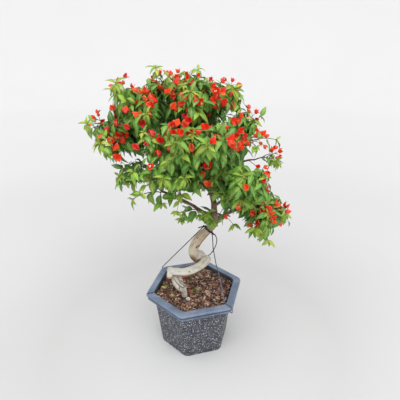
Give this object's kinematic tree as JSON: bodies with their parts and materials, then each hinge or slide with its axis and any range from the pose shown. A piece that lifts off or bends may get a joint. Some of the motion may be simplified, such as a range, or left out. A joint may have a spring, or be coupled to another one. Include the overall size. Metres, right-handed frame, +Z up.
{
  "type": "potted bougainvillea bonsai",
  "caption": "Bougainvillea bonsai with a corkscrew trunk, leafy branches and red bloom sprays, held by guy wires in a tapered hexagonal plastic pot.",
  "frame": {"origin": "centre of the pot's flat base, on the surface that the pot stands on", "axes": "+Z up; -Y is the tree's front, the side it is looked at from; +X to the viewer's right"},
  "size_m": [0.5451, 0.4334, 0.8298],
  "materials": {
    "pot_plastic": "satin blue-grey plastic, the body darker with white flecks",
    "bark_mix": "loose reddish-brown bark chips",
    "bark": "smooth pale grey-cream bark, pinkish brown above",
    "tie_wire": "dark plastic-coated wire",
    "red_bracts": "thin papery red-orange bracts",
    "green_leaves": "soft green leaves with a satin sheen"
  },
  "bodies": {
    "root": {"blooms_crown_back": "red_bracts", "blooms_crown_front": "red_bracts", "blooms_crown_left": "red_bracts", "blooms_crown_middle": "red_bracts", "blooms_crown_right": "red_bracts", "blooms_front_end": "red_bracts", "blooms_front_upper_left": "red_bracts", "blooms_front_upper_right": "red_bracts", "blooms_high_left": "red_bracts", "blooms_high_left_front": "red_bracts", "blooms_high_right": "red_bracts", "blooms_left_end": "red_bracts", "blooms_left_front": "red_bracts", "blooms_right_end": "red_bracts", "blooms_right_front": "red_bracts", "blooms_right_low_end": "red_bracts", "blooms_right_low_front": "red_bracts", "blooms_right_top": "red_bracts", "left_guy": "tie_wire", "loose_tail": "tie_wire", "pot": "pot_plastic", "right_guy": "tie_wire", "shoot_back_end": "green_leaves", "shoot_back_left_end": "green_leaves", "shoot_back_middle": "green_leaves", "shoot_back_right_end": "green_leaves", "shoot_crown_back": "green_leaves", "shoot_crown_front": "green_leaves", "shoot_crown_left": "green_leaves", "shoot_crown_middle": "green_leaves", "shoot_crown_right": "green_leaves", "shoot_fork_front": "green_leaves", "shoot_fork_left": "green_leaves", "shoot_front_end": "green_leaves", "shoot_front_low_left": "green_leaves", "shoot_front_low_middle": "green_leaves", "shoot_front_right_end": "green_leaves", "shoot_front_right_low": "green_leaves", "shoot_front_upper_left": "green_leaves", "shoot_front_upper_right": "green_leaves", "shoot_high_left": "green_leaves", "shoot_high_left_front": "green_leaves", "shoot_high_right": "green_leaves", "shoot_left_back": "green_leaves", "shoot_left_end": "green_leaves", "shoot_left_front": "green_leaves", "shoot_left_low_end": "green_leaves", "shoot_left_low_front": "green_leaves", "shoot_right_end": "green_leaves", "shoot_right_front": "green_leaves", "shoot_right_low_back": "green_leaves", "shoot_right_low_end": "green_leaves", "shoot_right_low_front": "green_leaves", "shoot_right_top": "green_leaves", "soil": "bark_mix", "trunk_and_branches": "bark", "trunk_tie": "tie_wire"}
  },
  "joints": []
}
